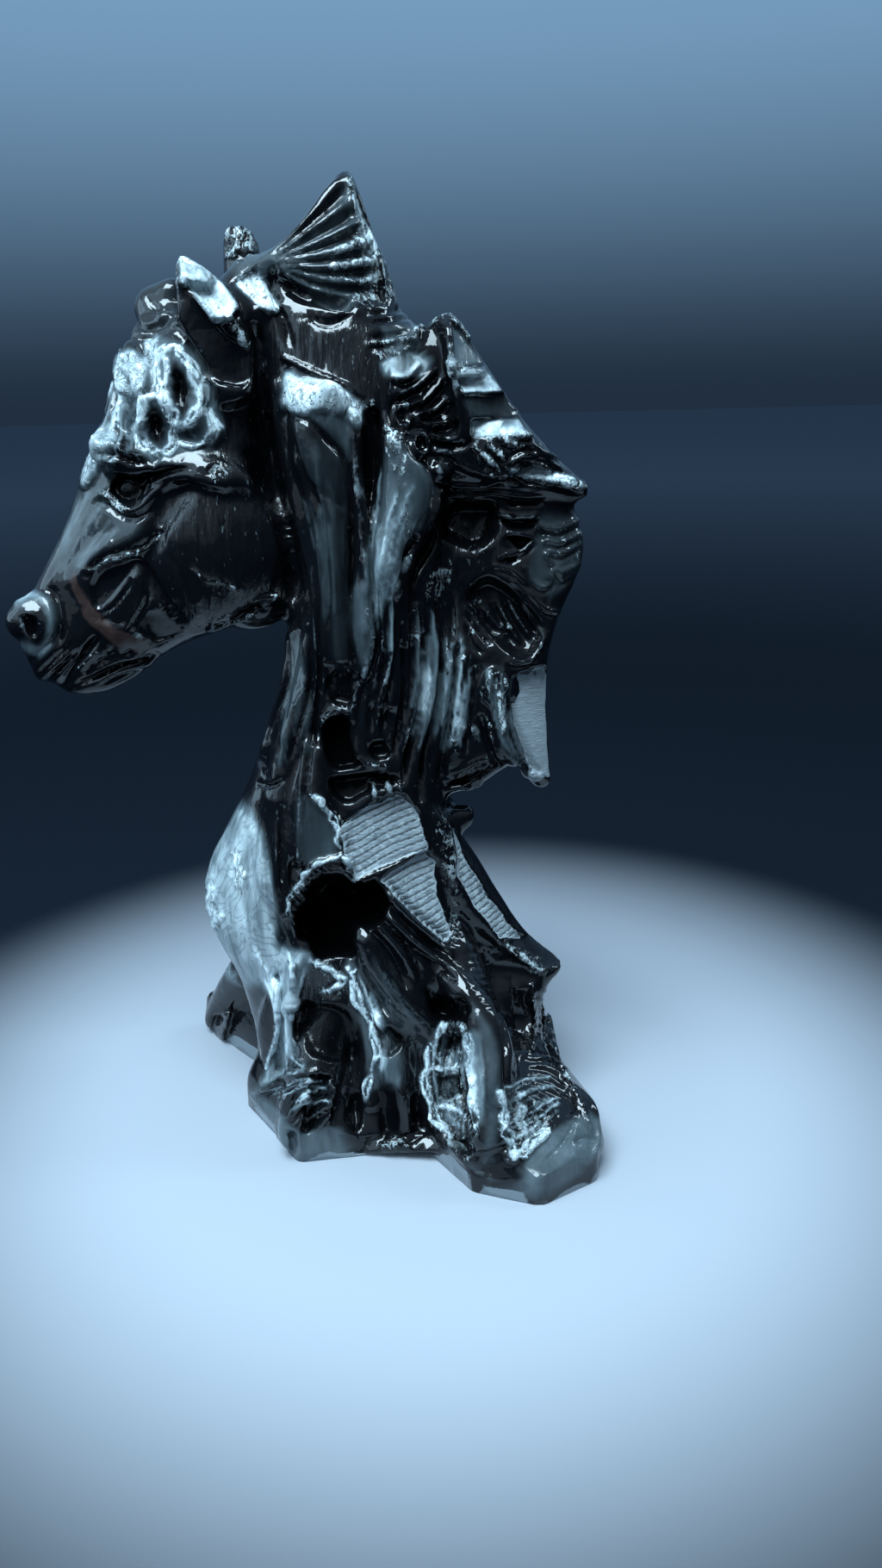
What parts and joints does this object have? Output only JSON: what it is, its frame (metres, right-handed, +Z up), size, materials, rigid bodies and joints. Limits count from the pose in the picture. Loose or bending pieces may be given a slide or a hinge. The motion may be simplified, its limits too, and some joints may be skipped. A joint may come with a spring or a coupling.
{
  "type": "horse head sculpture",
  "caption": "Horse head with pricked ears and a ragged, locked mane on a long neck that spreads into a hollowed foot, carved in one piece of glossy black volcanic glass.",
  "frame": {"origin": "point of the flat underside below the neck, on the plane that halves the head", "axes": "+Z up from the underside to the tip of the mane; the nose points along -X; the side that the picture shows faces -Y"},
  "size_m": [0.1746, 0.1161, 0.2843],
  "materials": {
    "volcanic_glass": "high polish on the figure, with frosted broken and sawn patches left on the mane and the foot"
  },
  "bodies": {
    "root": {"horse_head": "volcanic_glass"}
  },
  "joints": []
}
